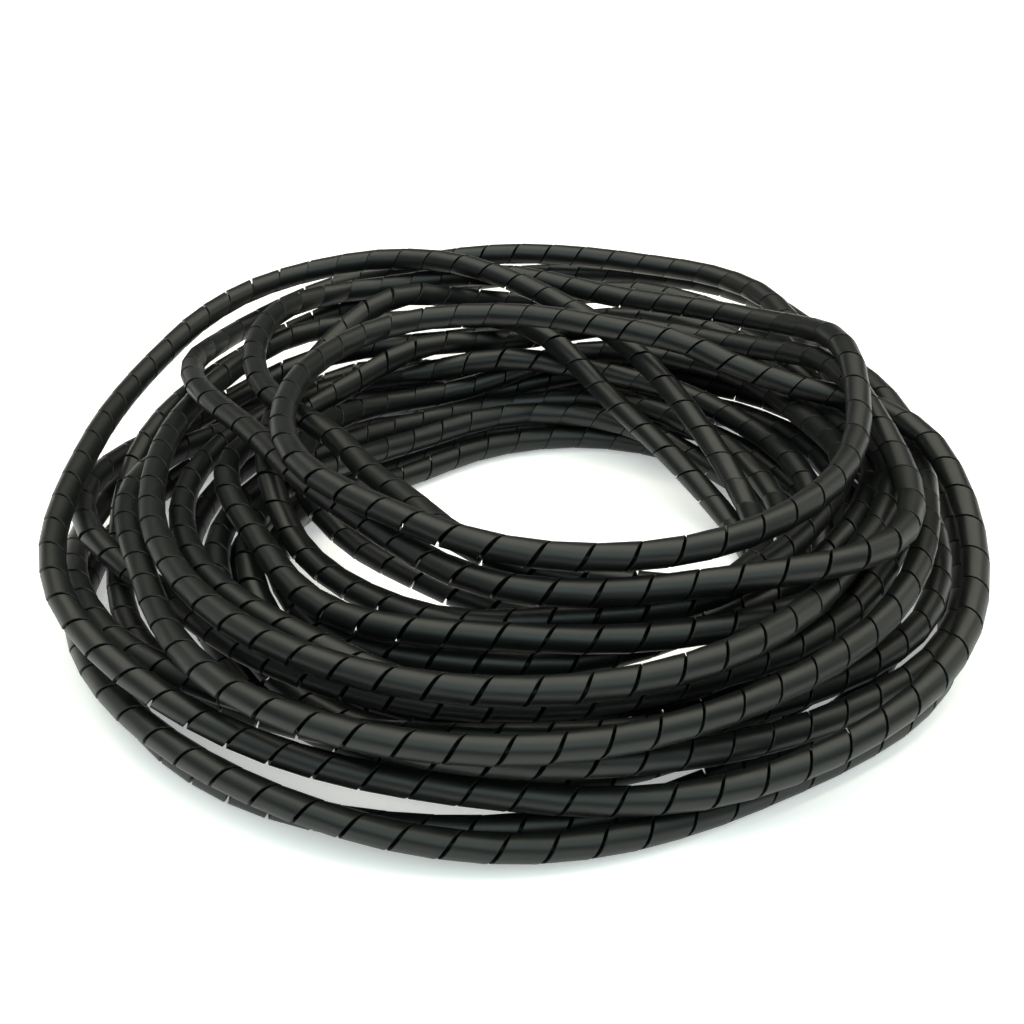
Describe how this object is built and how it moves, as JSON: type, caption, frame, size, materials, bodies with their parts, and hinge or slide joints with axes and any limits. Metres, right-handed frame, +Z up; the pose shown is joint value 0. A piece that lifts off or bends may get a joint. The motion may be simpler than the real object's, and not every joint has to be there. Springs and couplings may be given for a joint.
{
  "type": "spiral cable wrap",
  "caption": "Loose coil of black spiral cable wrap: round plastic tubing slit in a helix, wound by hand into an untied ring that lies flat.",
  "frame": {"origin": "on the floor under the middle of the coil's outline", "axes": "+Z up along the coil's axis, +Y away from the viewer of the picture, +X to the viewer's right"},
  "size_m": [0.2164, 0.2332, 0.0499],
  "materials": {
    "wrap_plastic": "satin black polyethylene"
  },
  "bodies": {
    "root": {"spiral_wrap": "wrap_plastic"}
  },
  "joints": []
}
